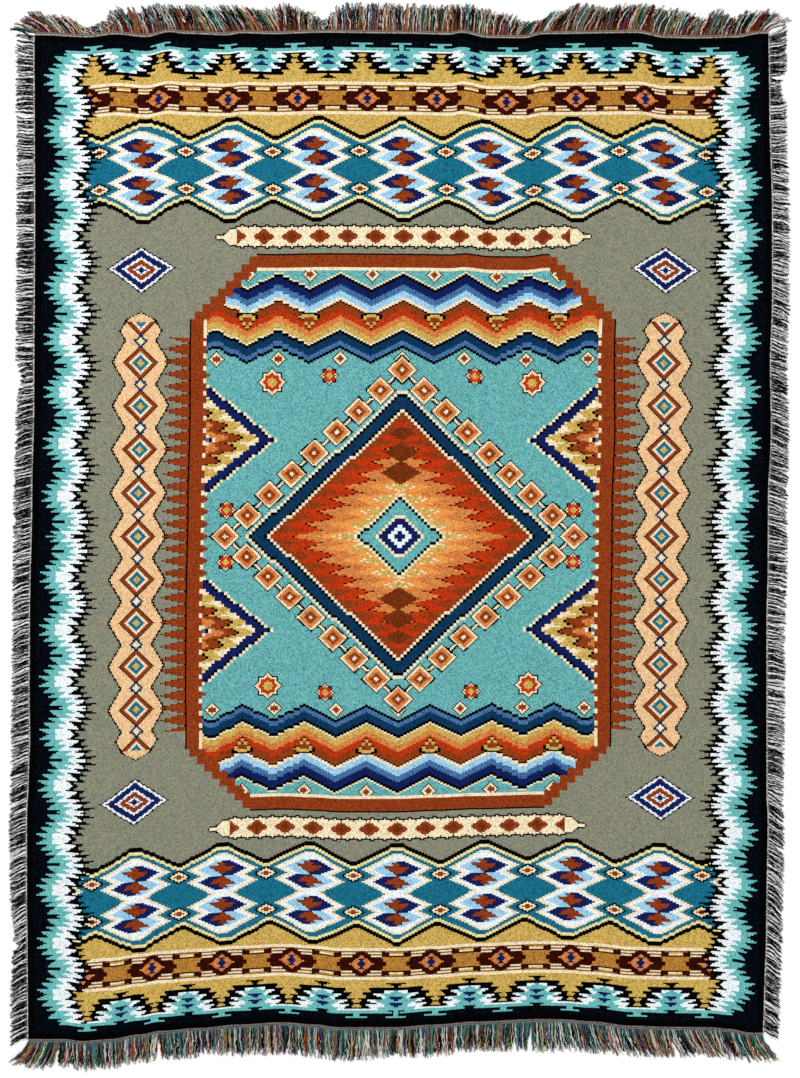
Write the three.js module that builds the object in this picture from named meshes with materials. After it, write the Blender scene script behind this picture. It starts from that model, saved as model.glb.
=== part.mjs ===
// Tapestry throw blanket, laid flat and seen from above: one woven cloth with a fringe
// on all four sides. Millimetres, +Z up. The length runs along Y, and the origin is in
// the middle of the underside.

import * as THREE from "three";

// Cloth
const halfWidth = 643; // furthest that a side edge stands from the middle
const halfLength = 868; // furthest that an end edge stands from the middle
const clothThickness = 2.4;
const columns = 30;
const rows = 40;

// Fringe
const parting = 0.3; // between the cloth's edge and a fringe's backing
const headerWidth = 5.8; // ribbed band that an end fringe hangs from
const edgeLineWidth = 2.6; // stitched line that a side fringe hangs from
const backingThickness = 2.2;
const tipThickness = 1.2;
const locksPerCell = 2; // locks along one cell of the cloth's edge
const rootFullness = 0.86; // share of the room between neighbours that a lock fills at its root
const bellyAt = 0.55; // where it is fullest, as a share of its reach
const bellyFullness = 0.9;
const tipFullness = 0.5;
const lengthUnevenness = 0.07; // most that a lock is longer or shorter than the table says
const unevennessStep = 1.7; // scatters that from lock to lock

// How far each edge stands in from its furthest line, at places along it
const leftEdge = [
  { at: -866, inset: 3 }, { at: -694, inset: 2 }, { at: -625, inset: 1 }, { at: -488, inset: 1 },
  { at: -419, inset: 4 }, { at: -350, inset: 6.5 }, { at: -281, inset: 5.5 }, { at: -144, inset: 6 },
  { at: 63, inset: 10 }, { at: 235, inset: 13.5 }, { at: 544, inset: 15 }, { at: 864, inset: 14 },
];
const rightEdge = [
  { at: -866, inset: 20 }, { at: -823, inset: 18.5 }, { at: -677, inset: 14.5 }, { at: -488, inset: 12 },
  { at: -453, inset: 14 }, { at: -144, inset: 14 }, { at: -60, inset: 12 }, { at: 63, inset: 11.5 },
  { at: 183, inset: 6.5 }, { at: 300, inset: 8 }, { at: 407, inset: 4.5 }, { at: 560, inset: 4.5 },
  { at: 734, inset: 9 }, { at: 864, inset: 10.5 },
];
const topEdge = [
  { at: -629, inset: 6.5 }, { at: -551, inset: 10 }, { at: -501, inset: 5 }, { at: -448, inset: 9.5 },
  { at: -407, inset: 1 }, { at: -379, inset: 4 }, { at: -307, inset: 6.5 }, { at: -280, inset: 3 },
  { at: -224, inset: 4.5 }, { at: -138, inset: 2 }, { at: 0, inset: 3.5 }, { at: 85, inset: 5.5 },
  { at: 104, inset: 2 }, { at: 154, inset: 11 }, { at: 214, inset: 11.5 }, { at: 249, inset: 4.5 },
  { at: 412, inset: 2.5 }, { at: 464, inset: 11 }, { at: 515, inset: 12 }, { at: 584, inset: 10.5 },
  { at: 632, inset: 3.5 },
];
const bottomEdge = [
  { at: -637, inset: 4 }, { at: -577, inset: 4 }, { at: -551, inset: 0.5 }, { at: -500, inset: 4 },
  { at: -448, inset: 12 }, { at: -414, inset: 18 }, { at: -345, inset: 23 }, { at: -276, inset: 29 },
  { at: -199, inset: 33 }, { at: -138, inset: 29 }, { at: -104, inset: 24.5 }, { at: 0, inset: 24.5 },
  { at: 68, inset: 29 }, { at: 137, inset: 34 }, { at: 249, inset: 38.5 }, { at: 292, inset: 38 },
  { at: 343, inset: 34.5 }, { at: 412, inset: 27 }, { at: 481, inset: 25 }, { at: 550, inset: 24.5 },
  { at: 584, inset: 21.5 }, { at: 622, inset: 15 },
];

// Low billows of the loose cloth: middle, half sizes and height
const billows = [
  { x: -470, y: 650, spreadX: 140, spreadY: 180, height: 4 },
  { x: -170, y: 690, spreadX: 130, spreadY: 150, height: 3 },
  { x: 150, y: 660, spreadX: 150, spreadY: 180, height: 4.5 },
  { x: 480, y: 610, spreadX: 130, spreadY: 210, height: 3.5 },
  { x: -450, y: 60, spreadX: 130, spreadY: 300, height: 3 },
  { x: 440, y: -20, spreadX: 130, spreadY: 280, height: 3 },
  { x: -330, y: -590, spreadX: 170, spreadY: 200, height: 5 },
  { x: 40, y: -620, spreadX: 150, spreadY: 170, height: 4 },
  { x: 420, y: -580, spreadX: 160, spreadY: 200, height: 4.5 },
];

// Locks of each fringe: how far they reach past the cloth's edge, and how far a tip
// leans along the edge, towards +X at the ends and +Y at the sides
const topLocks = [
  { at: -629, reach: 14, lean: -28 }, { at: -600, reach: 42, lean: -38 }, { at: -560, reach: 38, lean: -26 },
  { at: -525, reach: 18, lean: -12 }, { at: -500, reach: 24, lean: -10 }, { at: -472, reach: 50, lean: -16 },
  { at: -345, reach: 50, lean: -18 }, { at: -330, reach: 52, lean: -26 }, { at: -215, reach: 46, lean: -26 },
  { at: -200, reach: 54, lean: -6 }, { at: -160, reach: 40, lean: 0 }, { at: -135, reach: 22, lean: 0 },
  { at: -95, reach: 52, lean: 2 }, { at: 0, reach: 52, lean: 0 }, { at: 140, reach: 50, lean: 4 },
  { at: 170, reach: 44, lean: 6 }, { at: 205, reach: 30, lean: 14 }, { at: 262, reach: 42, lean: 28 },
  { at: 280, reach: 54, lean: 24 }, { at: 343, reach: 44, lean: 18 }, { at: 380, reach: 52, lean: 16 },
  { at: 450, reach: 50, lean: 18 }, { at: 490, reach: 44, lean: 18 }, { at: 505, reach: 32, lean: 14 },
  { at: 530, reach: 50, lean: 18 }, { at: 560, reach: 36, lean: 14 }, { at: 580, reach: 46, lean: 18 },
  { at: 615, reach: 42, lean: 26 }, { at: 632, reach: 26, lean: 34 },
];
const bottomLocks = [
  { at: -637, reach: 48, lean: -20 }, { at: -603, reach: 52, lean: -18 }, { at: -577, reach: 46, lean: -6 },
  { at: -543, reach: 51, lean: 0 }, { at: -448, reach: 49, lean: 0 }, { at: -422, reach: 51, lean: -2 },
  { at: -400, reach: 49, lean: 3 }, { at: -362, reach: 52, lean: 2 }, { at: -345, reach: 44, lean: 0 },
  { at: -276, reach: 54, lean: 0 }, { at: -70, reach: 57, lean: 0 }, { at: 0, reach: 50, lean: 0 },
  { at: 42, reach: 56, lean: 0 }, { at: 137, reach: 51, lean: 0 }, { at: 214, reach: 53, lean: -2 },
  { at: 240, reach: 57, lean: 5 }, { at: 343, reach: 54, lean: 14 }, { at: 455, reach: 52, lean: 16 },
  { at: 481, reach: 50, lean: 21 }, { at: 575, reach: 54, lean: 18 }, { at: 622, reach: 50, lean: 24 },
];
const leftLocks = [
  { at: -866, reach: 30, lean: -3 }, { at: -800, reach: 31, lean: -9 }, { at: -677, reach: 22, lean: -12 },
  { at: -600, reach: 30, lean: -12 }, { at: -350, reach: 33, lean: -11 }, { at: -144, reach: 31, lean: -8 },
  { at: 63, reach: 33, lean: -5 }, { at: 235, reach: 32, lean: -3 }, { at: 270, reach: 23, lean: 0 },
  { at: 310, reach: 33, lean: 0 }, { at: 544, reach: 33, lean: 0 }, { at: 864, reach: 33, lean: 2 },
];
const rightLocks = [
  { at: -866, reach: 28, lean: -4 }, { at: -800, reach: 29, lean: -10 }, { at: -488, reach: 29, lean: -11 },
  { at: -300, reach: 32, lean: -8 }, { at: 63, reach: 35, lean: -4 }, { at: 360, reach: 30, lean: -2 },
  { at: 544, reach: 31, lean: 0 }, { at: 734, reach: 30, lean: 3 }, { at: 780, reach: 20, lean: 0 },
  { at: 864, reach: 34, lean: 2 },
];

const mix = THREE.MathUtils.lerp;

// Value of a table's column at a place along the edge, straight between its rows
function readTable(table, place, column) {
  const next = table.findIndex((row) => row.at > place);
  if (next === 0) return table[0][column];
  if (next < 0) return table[table.length - 1][column];
  const [from, to] = [table[next - 1], table[next]];
  return mix(from[column], to[column], (place - from.at) / (to.at - from.at));
}

// Height of the cloth's underside above the surface
function lift(x, y) {
  let height = 0;
  for (const billow of billows) {
    const away = ((x - billow.x) / billow.spreadX) ** 2 + ((y - billow.y) / billow.spreadY) ** 2;
    if (away < 1) height += billow.height * (1 - away) ** 2;
  }
  return height;
}

// Place in plan of a corner of the cloth's grid, shares across and along running 0 to 1
function clothPoint(across, along) {
  const level = mix(-halfLength, halfLength, along);
  const place = mix(-halfWidth, halfWidth, across);
  const left = -halfWidth + readTable(leftEdge, level, "inset");
  const right = halfWidth - readTable(rightEdge, level, "inset");
  const bottom = -halfLength + readTable(bottomEdge, place, "inset");
  const top = halfLength - readTable(topEdge, place, "inset");
  return new THREE.Vector2(mix(left, right, across), mix(bottom, top, along));
}

function solid(name, positions, triangles, material) {
  const geometry = new THREE.BufferGeometry();
  geometry.setAttribute("position", new THREE.Float32BufferAttribute(positions, 3));
  geometry.setIndex(triangles);
  geometry.computeVertexNormals();
  const mesh = new THREE.Mesh(geometry, material);
  mesh.name = name;
  return mesh;
}

// The cloth: an upper and a lower grid, joined round the rim
function cloth() {
  const positions = [];
  for (const face of [0, clothThickness]) {
    for (let row = 0; row <= rows; row++) {
      for (let column = 0; column <= columns; column++) {
        const { x, y } = clothPoint(column / columns, row / rows);
        positions.push(x, y, lift(x, y) + face);
      }
    }
  }
  const upper = (columns + 1) * (rows + 1);
  const corner = (column, row) => row * (columns + 1) + column;
  const triangles = [];
  for (let row = 0; row < rows; row++) {
    for (let column = 0; column < columns; column++) {
      const [a, b] = [corner(column, row), corner(column + 1, row)];
      const [c, d] = [corner(column + 1, row + 1), corner(column, row + 1)];
      triangles.push(a, d, c, a, c, b);
      triangles.push(a + upper, c + upper, d + upper, a + upper, b + upper, c + upper);
    }
  }
  const rim = [];
  for (let column = 0; column < columns; column++) rim.push(corner(column, 0));
  for (let row = 0; row < rows; row++) rim.push(corner(columns, row));
  for (let column = columns; column > 0; column--) rim.push(corner(column, rows));
  for (let row = rows; row > 0; row--) rim.push(corner(0, row));
  rim.forEach((from, step) => {
    const to = rim[(step + 1) % rim.length];
    triangles.push(from, to, to + upper, from, to + upper, from + upper);
  });
  return solid("cloth", positions, triangles, clothYarn);
}

// A fringe lies outside one edge. The edge runs from start to end, given as shares across
// and along the cloth, and outward points away from it.
function fringe(name, { start, end, cells, outward, backingWidth, table, material }) {
  const alongAxis = outward.x === 0 ? "x" : "y";
  const corners = [];
  for (let cell = 0; cell <= cells; cell++) {
    const share = cell / cells;
    corners.push(clothPoint(mix(start.x, end.x, share), mix(start.y, end.y, share)));
  }
  const edgePoint = (share) => {
    const cell = Math.min(Math.floor(share * cells), cells - 1);
    return corners[cell].clone().lerp(corners[cell + 1], share * cells - cell);
  };
  const out = (point, distance) => point.clone().addScaledVector(outward, distance);

  // Each lock's middle line
  const rootLine = parting + backingWidth;
  const count = cells * locksPerCell;
  const locks = [];
  for (let lock = 0; lock < count; lock++) {
    const root = edgePoint((lock + 0.5) / count);
    const place = root[alongAxis];
    const uneven = 1 + lengthUnevenness * Math.sin(unevennessStep * lock * lock);
    const reach = readTable(table, place, "reach") * uneven;
    locks.push({ root, place, reach, lean: readTable(table, place, "lean") });
  }

  // The line between two neighbours: where it starts, and how far it leans for each millimetre out
  const borders = [];
  for (let border = 0; border <= count; border++) {
    const before = locks[Math.max(border - 1, 0)];
    const after = locks[Math.min(border, count - 1)];
    const start = edgePoint(border / count)[alongAxis];
    const between = (before.place + before.lean + after.place + after.lean) / 2;
    const tip = before === after ? start + before.lean : between;
    borders.push({ start, slope: (tip - start) / ((before.reach + after.reach) / 2 - rootLine) });
  }

  const outline = [];
  const heights = [];
  const add = (point, height) => {
    outline.push(point);
    heights.push(height);
  };
  add(out(corners[0], parting), backingThickness);
  add(out(corners[0], rootLine), backingThickness);
  locks.forEach((lock, index) => {
    const side = (share, fullness, border) => {
      const past = (lock.reach - rootLine) * share;
      const point = out(lock.root, rootLine + past);
      const edge = borders[border].start + borders[border].slope * past;
      point[alongAxis] = mix(lock.place + lock.lean * share, edge, fullness);
      return point;
    };
    const [near, far] = [index, index + 1];
    const bellyThickness = mix(backingThickness, tipThickness, bellyAt);
    add(side(0, rootFullness, near), backingThickness);
    add(side(bellyAt, bellyFullness, near), bellyThickness);
    add(side(1, tipFullness, near), tipThickness);
    add(side(1, tipFullness, far), tipThickness);
    add(side(bellyAt, bellyFullness, far), bellyThickness);
    add(side(0, rootFullness, far), backingThickness);
  });
  add(out(corners[cells], rootLine), backingThickness);
  for (let cell = cells; cell > 0; cell--) add(out(corners[cell], parting), backingThickness);
  return slab(name, outline, heights, material);
}

// A flat-bottomed solid on the surface: an outline in plan, and the height at each of its points
function slab(name, outline, heights, material) {
  if (THREE.ShapeUtils.isClockWise(outline)) {
    outline.reverse();
    heights.reverse();
  }
  const count = outline.length;
  const positions = [];
  outline.forEach((point) => positions.push(point.x, point.y, 0));
  outline.forEach((point, index) => positions.push(point.x, point.y, heights[index]));
  const triangles = [];
  for (const [a, b, c] of THREE.ShapeUtils.triangulateShape(outline, [])) {
    triangles.push(a, c, b, a + count, b + count, c + count);
  }
  outline.forEach((point, index) => {
    const next = (index + 1) % count;
    triangles.push(index, next, next + count, index, next + count, index + count);
  });
  return solid(name, positions, triangles, material);
}

const clothYarn = new THREE.MeshStandardMaterial({ color: 0x5d9a96, roughness: 0.92, metalness: 0 });
const warpYarn = new THREE.MeshStandardMaterial({ color: 0x8a7c74, roughness: 0.95, metalness: 0 });
const weftYarn = new THREE.MeshStandardMaterial({ color: 0x4a4850, roughness: 0.95, metalness: 0 });

const bottomLeft = new THREE.Vector2(0, 0);
const bottomRight = new THREE.Vector2(1, 0);
const topLeft = new THREE.Vector2(0, 1);
const topRight = new THREE.Vector2(1, 1);

const ends = { cells: columns, backingWidth: headerWidth, material: warpYarn };
const sides = { cells: rows, backingWidth: edgeLineWidth, material: weftYarn };

const group = new THREE.Group();
group.add(cloth());
group.add(fringe("fringe_top", { ...ends, start: topLeft, end: topRight,
  outward: new THREE.Vector2(0, 1), table: topLocks }));
group.add(fringe("fringe_bottom", { ...ends, start: bottomLeft, end: bottomRight,
  outward: new THREE.Vector2(0, -1), table: bottomLocks }));
group.add(fringe("fringe_left", { ...sides, start: bottomLeft, end: topLeft,
  outward: new THREE.Vector2(-1, 0), table: leftLocks }));
group.add(fringe("fringe_right", { ...sides, start: bottomRight, end: topRight,
  outward: new THREE.Vector2(1, 0), table: rightLocks }));

export default group;
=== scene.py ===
import math
import random

import bpy
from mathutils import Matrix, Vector, noise


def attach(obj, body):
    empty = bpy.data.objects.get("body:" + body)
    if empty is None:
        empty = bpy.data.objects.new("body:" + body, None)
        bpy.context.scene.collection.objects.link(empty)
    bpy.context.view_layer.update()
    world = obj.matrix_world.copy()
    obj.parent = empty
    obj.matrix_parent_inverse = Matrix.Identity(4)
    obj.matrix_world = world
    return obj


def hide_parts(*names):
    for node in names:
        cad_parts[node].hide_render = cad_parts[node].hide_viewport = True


# Tapestry throw laid flat, seen from straight above. Metres, +Y towards the top end.
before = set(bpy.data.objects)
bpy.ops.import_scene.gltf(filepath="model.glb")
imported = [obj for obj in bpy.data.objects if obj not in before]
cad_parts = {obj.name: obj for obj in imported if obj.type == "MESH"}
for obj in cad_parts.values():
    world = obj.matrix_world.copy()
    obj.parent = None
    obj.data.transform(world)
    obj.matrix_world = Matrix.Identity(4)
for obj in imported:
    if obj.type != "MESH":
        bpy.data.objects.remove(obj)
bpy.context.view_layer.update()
mm = 0.001


# Shader sums: a Wire is a socket that adds, multiplies and compares

def sumWith(operation, swapped=False):
    def run(self, other):
        pair = [other, self] if swapped else [self, other]
        return self.graph.node("ShaderNodeMath", {"operation": operation}, pair)
    return run


class Wire:
    def __init__(self, graph, socket):
        self.graph = graph
        self.socket = socket

    __add__ = sumWith("ADD")
    __radd__ = sumWith("ADD", True)
    __sub__ = sumWith("SUBTRACT")
    __rsub__ = sumWith("SUBTRACT", True)
    __mul__ = sumWith("MULTIPLY")
    __rmul__ = sumWith("MULTIPLY", True)
    __truediv__ = sumWith("DIVIDE")
    __rtruediv__ = sumWith("DIVIDE", True)
    __lt__ = sumWith("LESS_THAN")
    __gt__ = sumWith("GREATER_THAN")

    def math(self, operation, *others):
        return self.graph.node("ShaderNodeMath", {"operation": operation}, [self, *others])

    def __abs__(self):
        return self.math("ABSOLUTE")

    def floor(self):
        return self.math("FLOOR")

    def steps(self, size):  # in treads of that size
        return (self / size).floor() * size

    def phase(self, period):  # 0 to 1 along each period
        return (self / period).math("FRACT")

    def fold(self, half):  # 0 at every even multiple of half, half at the odd ones
        return self.math("PINGPONG", half)

    def near(self, middle, reach):
        return self.math("COMPARE", middle, reach)

    def atMost(self, other):
        return self.math("MINIMUM", other)

    def atLeast(self, other):
        return self.math("MAXIMUM", other)


class Graph:  # the nodes of one material
    def __init__(self, name):
        self.material = bpy.data.materials.new(name)
        self.material.use_nodes = True
        self.tree = self.material.node_tree
        self.shader = self.tree.nodes["Principled BSDF"]

    def node(self, kind, settings, inputs, output=0):
        made = self.tree.nodes.new(kind)
        for name, value in settings.items():
            if name == "stops":
                setStops(made.color_ramp, value)
            else:
                setattr(made, name, value)
        named = inputs.items() if isinstance(inputs, dict) else enumerate(inputs)
        for name, value in named:
            self.plug(made.inputs[name], value)
        return Wire(self, made.outputs[output])

    def plug(self, socket, value):
        if isinstance(value, Wire):
            self.tree.links.new(value.socket, socket)
        else:
            socket.default_value = value

    def surface(self, **inputs):
        for name, value in inputs.items():
            self.plug(self.shader.inputs[socketNames[name]], value)
        return self.material

    def attribute(self, name, output="Vector"):
        return self.node("ShaderNodeAttribute", {"attribute_name": name}, [], output)

    def parts(self, vector):
        split = self.node("ShaderNodeSeparateXYZ", {}, [vector])
        return [Wire(self, socket) for socket in split.socket.node.outputs]

    def joined(self, x, y, z=0.0):
        return self.node("ShaderNodeCombineXYZ", {}, [x, y, z])

    def mixColours(self, share, first, second, blend="MIX"):
        settings = {"data_type": "RGBA", "blend_type": blend}
        return self.node("ShaderNodeMix", settings, {0: share, 6: first, 7: second}, 2)

    def shaded(self, color, shade):
        return self.mixColours(1.0, color, self.joined(shade, shade, shade), "MULTIPLY")

    def mixNumbers(self, share, first, second):
        return self.node("ShaderNodeMix", {"data_type": "FLOAT"}, {0: share, 2: first, 3: second})

    def scatter(self, vector, output="Value"):  # even random numbers for each whole place
        settings = {"noise_dimensions": "3D"}
        return self.node("ShaderNodeTexWhiteNoise", settings, {"Vector": vector}, output)

    def relief(self, height, distance, strength=1.0):
        inputs = {"Strength": strength, "Distance": distance, "Height": height}
        return self.node("ShaderNodeBump", {}, inputs, "Normal")


socketNames = {
    "color": "Base Color", "roughness": "Roughness", "normal": "Normal",
    "gloss": "Specular IOR Level",
}


def setStops(ramp, stops):
    ramp.interpolation = "CONSTANT"
    while len(ramp.elements) < len(stops):
        ramp.elements.new(1.0)
    for element, (place, colour) in zip(ramp.elements, stops):
        element.position = place
        element.color = colour


def fromHex(code):  # screen colour to the linear one that nodes work in
    shares = [int(code[at:at + 2], 16) / 255 for at in (0, 2, 4)]
    return [share / 12.92 if share < 0.04 else ((share + 0.055) / 1.055) ** 2.4 for share in shares]


def solidColour(code):
    return (*fromHex(code), 1.0)


# Yarns: the colour on the face, and that of the yarn that flecks it

yarns = {
    "black": ("020203", "06080a"),
    "navyBlack": ("020409", "0a141d"),
    "aqua": ("62b7b6", "86c9c5"),
    "white": ("f6fbfd", "dae9ed"),
    "gold": ("d8b661", "a9843a"),
    "tan": ("98642c", "6d431c"),
    "brownGold": ("c08638", "8d5a24"),
    "maroon": ("2c0805", "481409"),
    "orange": ("dc8a49", "b45a2a"),
    "cream": ("fbeccb", "dfc590"),
    "paleCream": ("f5e7a6", "d3c27c"),
    "teal": ("1c7490", "105468"),
    "lightBlue": ("a9d6ee", "7fb4d6"),
    "steel": ("4a78a8", "2c4c7c"),
    "navy": ("14235f", "0c1338"),
    "rust": ("98401a", "6c2a10"),
    "oliveGrey": ("908f7a", "71776a"),
    "turquoise": ("70b8b8", "468c90"),
    "redOrange": ("c53a12", "9c260c"),
    "peachOrange": ("f2a253", "dd7f35"),
    "darkBlue": ("10395c", "0a2340"),
    "brown": ("7b3413", "571f0b"),
    "peach": ("f4cc9c", "dea872"),
}
yarnNames = list(yarns)


def yarnStops(which):
    return [(at / len(yarns), solidColour(pair[which])) for at, pair in enumerate(yarns.values())]


# The chart is counted in woven steps, from the middle of the cloth outwards

chartSize = {"columns": 475, "rows": 645, "widest": 48}


class Chart:
    def __init__(self, graph, across, along):
        self.graph = graph
        lastColumn = (chartSize["columns"] - 1) / 2
        lastRow = (chartSize["rows"] - 1) / 2
        self.column = across.floor() - lastColumn
        self.x = abs(self.column)
        self.y = abs(along.floor() - lastRow)
        self.fromSide = lastColumn - self.x
        self.fromEnd = lastRow - self.y
        self.yarn = yarnNames.index("oliveGrey")

    def paint(self, yarn, mask):
        self.yarn = self.graph.mixNumbers(mask, self.yarn, yarnNames.index(yarn))

    # Nested forms: each layer covers what is nearer the middle than its border
    def paintLayers(self, layers, distance, mask=1):
        for yarn, border in layers:
            self.paint(yarn, (distance < border) * mask)

    # Reads a short table of rows at a place: one wire for each of its columns, up to four
    def readRows(self, rows, place):
        widest = chartSize["widest"]
        stops = []
        for at, row in enumerate(rows):
            numbers = (*row, 0, 0, 0)[:4]
            stops.append((at / len(rows), [number / widest for number in numbers]))
        ramp = self.graph.node("ShaderNodeValToRGB", {"stops": stops}, [(place + 0.5) / len(rows)])
        split = self.graph.node("ShaderNodeSeparateColor", {}, [ramp])
        sockets = [*split.socket.node.outputs, ramp.socket.node.outputs["Alpha"]]
        return [Wire(self.graph, socket) * widest for socket in sockets[:len(rows[0])]]


# Teal band at each end: a zigzag outline, lattice units in two rows and small diamonds between

latticeBand = {
    "middle": 87,  # from the end of the cloth
    "half": 28,  # from a peak to a trough
    "peak": 33,  # from the band's middle to the outline
    "skew": 2,  # how much nearer the middle the gold side's peaks lie
    "flat": 2,
    "slope": 0.5,
    "run": 24,  # how far the outline slopes before it is flat again
    "goldFrom": -1,
    "outline": [("black", 0.5), ("paleCream", -2.5), ("teal", -4.5)],
    "unitRows": (16, 8),
    "pairRow": 12,
    "unitSlope": 0.53,
    # yarn, reach, and the rows that it stays between
    "unit": [("cream", 11.8, -1, 26.6), ("white", 10.3, -1, 25.1), ("lightBlue", 8, 2.3, 21.6)],
    "navySide": 0.4,
    # rust leaf: its reach to the left and right on each row from the pair's middle
    "leafRows": [
        (0, 0), (0.6, 0.6), (3, 2), (5.2, 3.6), (6.6, 5),
        (7.2, 6.8), (2, 8.2), (2.4, 2.2), (0.2, 2.4), (0, 0),
    ],
    "leafEdge": 0.8,
    "small": [("black", 4.9), ("cream", 3.6), ("rust", 2)],
    "smallRow": 12,
    "smallSlope": 0.62,
}


def paintLatticeBand(chart):
    size = latticeBand
    across = chart.x.fold(size["half"])
    deep = chart.fromEnd - size["middle"]
    row = abs(deep)
    goldSide = deep < 0
    skewed = (chart.x + goldSide * size["skew"]).fold(size["half"])
    sloped = (skewed - size["flat"]).atLeast(0).atMost(size["run"]) * size["slope"]
    past = row - goldSide - size["peak"] + sloped.floor()
    chart.paint("gold", goldSide * (past > size["goldFrom"]))
    chart.paintLayers(size["outline"], past)
    upper, lower = [abs(row - middle) for middle in size["unitRows"]]
    unit = upper.atMost(lower) + across * size["unitSlope"]
    for yarn, reach, low, high in size["unit"]:
        inside = (unit < reach) * (row > low) * (row < high)
        chart.paint(yarn, inside)
    paintLeaves(chart, deep, inside)
    small = (size["half"] - across) * size["smallSlope"] + abs(row - size["smallRow"])
    chart.paintLayers(size["small"], small)


def paintLeaves(chart, deep, inside):
    # Each pair of leaves is turned round at the middle of its unit
    size = latticeBand
    period = 2 * size["half"]
    signed = (chart.column + size["half"]).phase(period) * period - size["half"]
    fromPair = deep - deep.math("SIGN") * size["pairRow"]
    towards = signed * ((fromPair < 0) * 2 - 1)
    chart.paint("navy", inside * (towards < size["navySide"]))
    left, right = chart.readRows(size["leafRows"], abs(fromPair))
    for yarn, edge in (("maroon", size["leafEdge"]), ("rust", 0)):
        leaf = (towards > 0 - left - edge) * (towards < right + edge) * (left + right > 0)
        chart.paint(yarn, leaf * inside)


# Brown band at each end: maroon diamonds with dashes between two cream lines

brownBand = {
    "middle": 41,
    "reach": 10.5,
    "brownReach": 5.5,
    "half": 22.5,
    "lineReach": 0.1,  # picks out a single row
    # yarn, where it starts across, then its rows and how far it goes on each
    "lines": [
        ("cream", -1, [(9, 23), (10, 23)]),
        ("tan", -1, [(6, 13.1), (8, 23)]),
        ("cream", -1, [(5, 13.1), (7, 13.1)]),
        ("cream", 13.1, [(6, 23)]),
        ("maroon", 13.1, [(5, 23), (6, 18.3), (7, 17.6), (8, 15.4)]),
    ],
    "yarns": ("maroon", "orange", "navy"),
    "rows": [
        (16.4, 7.8, 2.6), (16.4, 6.5, 1.6), (14.4, 5.2, 0.6), (14.4, 3.7, 1.6), (12.6, 2.2, 0),
        (6, 0.9, 0), (5.9, 0, 0), (4.1, 0, 0), (1.9, 0, 0), (0, 0, 0), (0, 0, 0),
    ],
}


def paintBrownBand(chart):
    size = brownBand
    level = abs(chart.fromEnd - size["middle"])
    across = (chart.x - size["half"]).fold(size["half"])
    chart.paint("gold", level < size["reach"])
    chart.paint("brownGold", level < size["brownReach"])
    for yarn, start, lines in size["lines"]:
        for row, reach in lines:
            line = level.near(row, size["lineReach"])
            chart.paint(yarn, line * (across > start) * (across < reach))
    for yarn, reach in zip(size["yarns"], chart.readRows(size["rows"], level)):
        chart.paint(yarn, (across < reach) * (level < size["reach"]))


# Border at each end: aqua and white steps with gold hourglasses, on navy black

endBorder = {
    "first": 25.8,  # hourglass nearest the middle
    "half": 21.7,
    "squeeze": 0.841,
    "goldRows": 31,
    "darkRows": 29,
    "charted": (17, 11.1),  # middle and reach of the charted rows
    "firstRow": 6,
    "yarns": ("gold", "black", "white", "aqua"),
    # how far each yarn reaches from the hourglass, from the outer row in
    "rows": [
        (0, 0, 0, 6.3), (0, 0, 0, 2.1), (0, 0, 0, 2.1), (0, 0, 0, 19.2), (0, 0, 0, 17.4),
        (0, 0, 12.4, 23), (0, 8, 11.4, 23), (2.6, 6.6, 15, 23), (1.6, 5.2, 15.6, 23), (0, 11, 14, 23),
        (1.8, 8, 11.6, 23), (2.6, 6, 10.4, 23), (0.9, 14.2, 15.6, 23), (5.4, 13.4, 16.4, 23),
        (5.2, 11.4, 15, 23), (3.8, 9.6, 14, 23), (3.2, 15.6, 18.4, 23), (8, 15.2, 20.4, 23),
        (6.8, 23, 23, 23), (6.8, 23, 23, 23), (20.4, 23, 23, 23), (19, 23, 23, 23), (16.6, 23, 23, 23),
    ],
    "seeds": [(12.2, 1.5), (16.4, 1.6)],  # navy darts in the gaps: start row and slope
    "seedRows": (1.7, 1.2),
    "centre": [(6, 0.5, 6.3), (8.5, 1.6, 1.2)],  # aqua bar and stem: middle row, reach and width
    "glassRows": (18, 6.1),
    "glassFrom": 31,
}


def paintEndBorder(chart):
    size = endBorder
    level = chart.fromEnd
    outer = chart.x - size["first"]
    across = (outer * -size["squeeze"]).atLeast(outer).fold(size["half"])
    chart.paint("gold", level < size["goldRows"])
    chart.paint("navyBlack", level < size["darkRows"])
    charted = level.near(*size["charted"])
    reaches = chart.readRows(size["rows"], level - size["firstRow"])
    for yarn, reach in reversed(list(zip(size["yarns"], reaches))):
        chart.paint(yarn, (across < reach) * charted)
    middle, reach = size["seedRows"]
    for start, slope in size["seeds"]:
        dart = size["half"] - across < (level - start) * slope
        chart.paint("navy", dart * level.near(start + middle, reach))
    for row, reach, width in size["centre"]:
        chart.paint("aqua", level.near(row, reach) * (chart.x < width))
    return (across < reaches[0]) * level.near(*size["glassRows"]) * (chart.fromSide > size["glassFrom"])


# Side borders: saw teeth on long waves, in four layers

sideBorder = {
    "first": 26.25,  # wave nearest the middle
    "half": 16.75,
    "from": 10.5,
    "yarns": ("black", "white", "aqua", "navyBlack"),
    # how far each yarn reaches in from the side, row by row from a trough to a crest
    "rows": [
        (32, 28, 17, 12), (31, 27, 16, 10), (29, 26, 16, 8), (36, 24, 16, 6), (35, 31, 21, 13),
        (33, 30, 19, 12), (33, 28, 18, 10), (37, 27, 23, 9), (35, 25, 22, 16), (34, 33, 20, 14),
        (40, 31, 19, 12), (38, 29, 27, 18), (36, 35, 25, 17), (36, 34, 23, 15), (43, 32, 29, 14),
        (40, 30, 27, 13), (37, 36, 25, 21), (38, 34, 24, 19),
    ],
    "corner": 19.5,
    "hem": 4,
}


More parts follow.
